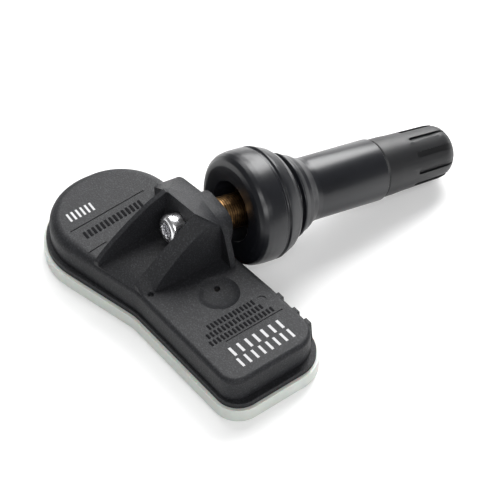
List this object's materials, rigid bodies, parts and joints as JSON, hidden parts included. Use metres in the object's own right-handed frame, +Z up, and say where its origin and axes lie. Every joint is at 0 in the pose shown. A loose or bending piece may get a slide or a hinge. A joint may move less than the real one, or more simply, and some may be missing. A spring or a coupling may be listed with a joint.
{
  "type": "tyre pressure sensor",
  "caption": "Tyre pressure sensor: a flat black housing with a round lobe and an arm, on a pale base cover, screwed to a rubber snap-in valve with a fluted cap.",
  "frame": {"origin": "on the underside of the base cover, straight below the point where the valve axis meets the screw wall of the bracket", "axes": "+Y runs along the valve in plan, towards its cap; +X runs along the arm of the housing; +Z is up, away from the base cover"},
  "size_m": [0.0544, 0.0689, 0.0208],
  "materials": {
    "moulded_black": "fine matte grain",
    "pale_cover": "pale green-grey, slightly translucent",
    "bead": "cured sealant",
    "screw_chrome": "polished plating",
    "brass": "machined, lightly tarnished",
    "bulb_rubber": "dense rubber with a soft gloss",
    "cap_plastic": "satin",
    "core_brass": "bright turned",
    "white_seal": "waxy white",
    "seal_rubber": "soft matt rubber",
    "cap_gasket": "red-brown washer rubber",
    "spring_steel": "drawn wire",
    "board_green": "solder mask",
    "chip_black": "moulded epoxy",
    "soft_seal": "soft silicone",
    "coil": "wound enamelled wire on ferrite",
    "bright_can": "nickel plated",
    "capacitor": "fired body",
    "tinned": "tinned"
  },
  "bodies": {
    "sensor": {"housing": "moulded_black", "base_cover": "pale_cover", "sealing_bead": "bead", "mounting_screw": "screw_chrome", "valve_stem": "brass", "valve_rubber": "bulb_rubber", "core_barrel": "core_brass", "core_barrel_seal": "white_seal", "core_spring": "spring_steel", "circuit_board": "board_green", "sensor_chip": "chip_black", "port_seal": "soft_seal", "wake_up_coil": "coil", "crystal_can": "bright_can", "chip_capacitors": "capacitor", "loop_antenna": "tinned", "button_cell": "bright_can", "cell_tab_upper": "tinned", "cell_tab_lower": "tinned"},
    "plunger": {"core_pin": "core_brass", "core_seal_cup": "seal_rubber"},
    "cap_ring": {"cap_seal": "cap_gasket"},
    "cap": {"dust_cap": "cap_plastic"}
  },
  "joints": [
    {"name": "core_pin_press", "type": "slide", "parent": "sensor", "child": "plunger", "axis": [0, -0.9853, 0.1711], "range_m": [0, 0.0012], "stiffness_N_per_m": 1200, "springref_m": -0.0012, "deforming": ["core_spring"]},
    {"name": "cap_travel", "type": "slide", "parent": "sensor", "child": "cap_ring", "axis": [0, 0.9853, -0.1711], "range_m": [0, 0.00635]},
    {"name": "cap_turn", "type": "hinge", "parent": "cap_ring", "child": "cap", "pos_m": [0, 0.04434, 0.00588], "axis": [0, 0.9853, -0.1711], "range_deg": [0, 2880]}
  ],
  "couplings": [
    {"joint": "cap_turn", "follows": "cap_travel", "rad_per_m": 7915.8}
  ]
}
